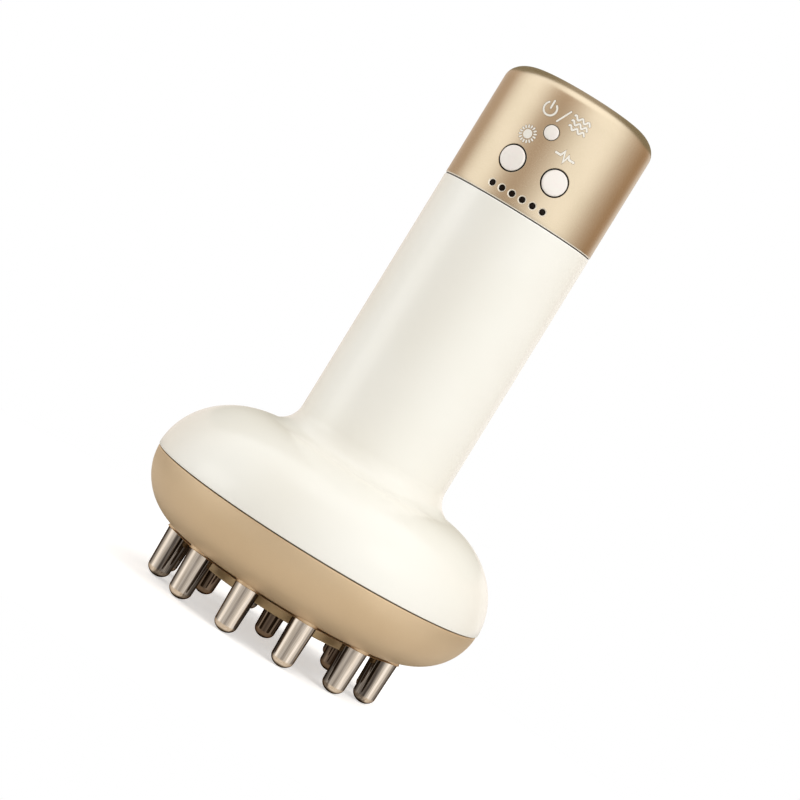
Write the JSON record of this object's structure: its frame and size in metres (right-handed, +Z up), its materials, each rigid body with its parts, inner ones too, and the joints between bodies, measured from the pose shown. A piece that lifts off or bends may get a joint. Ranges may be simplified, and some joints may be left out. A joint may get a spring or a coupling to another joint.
{
  "type": "handheld body massager",
  "caption": "Straight grip flaring into a round bell head with rings of blunt metal rods, a metal end cap with buttons, and a motor, cell and board inside.",
  "frame": {"origin": "middle of the circle on which the outer rod tips stand, on the plane that the tips touch", "axes": "+Z up through the grip to the metal cap, -Y through the front where the buttons are, +X to the right of someone who faces the buttons"},
  "size_m": [0.0954, 0.0954, 0.1605],
  "materials": {
    "champagne_metal": "satin champagne with a soft metallic sheen",
    "cream_gloss": "smooth glossy moulding",
    "tan_satin": "satin pearl moulding",
    "tan_plate": "satin pearl moulding",
    "pearl": "pearl gloss",
    "smoked_lens": "dark smoked",
    "lamp_resin": "clear resin",
    "polished_rod": "polished, with a warm tint",
    "dark_plastic": "moulded",
    "black_plastic": "moulded",
    "white_nylon": "moulded",
    "flex_amber": "polyimide film",
    "board_green": "solder mask",
    "contact_brass": "stamped",
    "weight_brass": "turned",
    "nickel": "nickel plated",
    "zinc_steel": "zinc plated",
    "motor_steel": "zinc plated",
    "cell_wrap": "shrink film",
    "seal_rubber": "moulded",
    "red_wire": "insulated",
    "black_wire": "insulated",
    "orange_wire": "insulated",
    "white_wire": "insulated"
  },
  "bodies": {
    "root": {"end_cap": "champagne_metal", "switch_bodies": "dark_plastic", "switch_flex": "flex_amber", "flex_ribbon": "flex_amber", "light_guide": "smoked_lens", "indicator_leds": "lamp_resin", "cap_frame": "dark_plastic", "frame_screws": "zinc_steel", "charging_socket": "nickel", "charging_board": "board_green", "handle_shell": "cream_gloss", "chassis": "white_nylon", "battery_cell": "cell_wrap", "cell_tabs": "nickel", "control_board": "board_green", "board_parts": "black_plastic", "board_screws": "zinc_steel", "motor_can": "motor_steel", "motor_end_cap": "white_nylon", "motor_sleeve": "seal_rubber", "motor_cradle": "white_nylon", "motor_clamp": "white_nylon", "clamp_screws": "zinc_steel", "cradle_screws": "zinc_steel", "head_base": "tan_satin", "centre_plate": "tan_plate", "outer_electrodes": "polished_rod", "inner_electrodes": "polished_rod", "outer_contact_ring": "contact_brass", "inner_contact_ring": "contact_brass", "electrode_nuts": "zinc_steel", "heater_film": "flex_amber", "head_gasket": "seal_rubber", "battery_leads": "red_wire", "charge_leads": "red_wire", "motor_leads": "black_wire", "electrode_leads": "orange_wire", "heater_leads": "white_wire"},
    "power_button": {"power_button": "pearl", "power_plunger": "black_plastic"},
    "heat_button": {"heat_button": "pearl", "heat_plunger": "black_plastic"},
    "pulse_button": {"pulse_button": "pearl", "pulse_plunger": "black_plastic"},
    "motor_rotor": {"motor_shaft": "zinc_steel", "eccentric_weight": "weight_brass"}
  },
  "joints": [
    {"name": "power_press", "type": "slide", "parent": "root", "child": "power_button", "axis": [0.0471, 0.9989, 0], "range_m": [0, 0.0005], "stiffness_N_per_m": 1500, "springref_m": -0.0008},
    {"name": "heat_press", "type": "slide", "parent": "root", "child": "heat_button", "axis": [0.2865, 0.9581, 0], "range_m": [0, 0.0005], "stiffness_N_per_m": 1500, "springref_m": -0.0008},
    {"name": "pulse_press", "type": "slide", "parent": "root", "child": "pulse_button", "axis": [-0.2865, 0.9581, 0], "range_m": [0, 0.0005], "stiffness_N_per_m": 1500, "springref_m": -0.0008},
    {"name": "motor_spin", "type": "hinge", "parent": "root", "child": "motor_rotor", "pos_m": [0, 0, 0.03365], "axis": [1, 0, 0], "continuous": true}
  ]
}
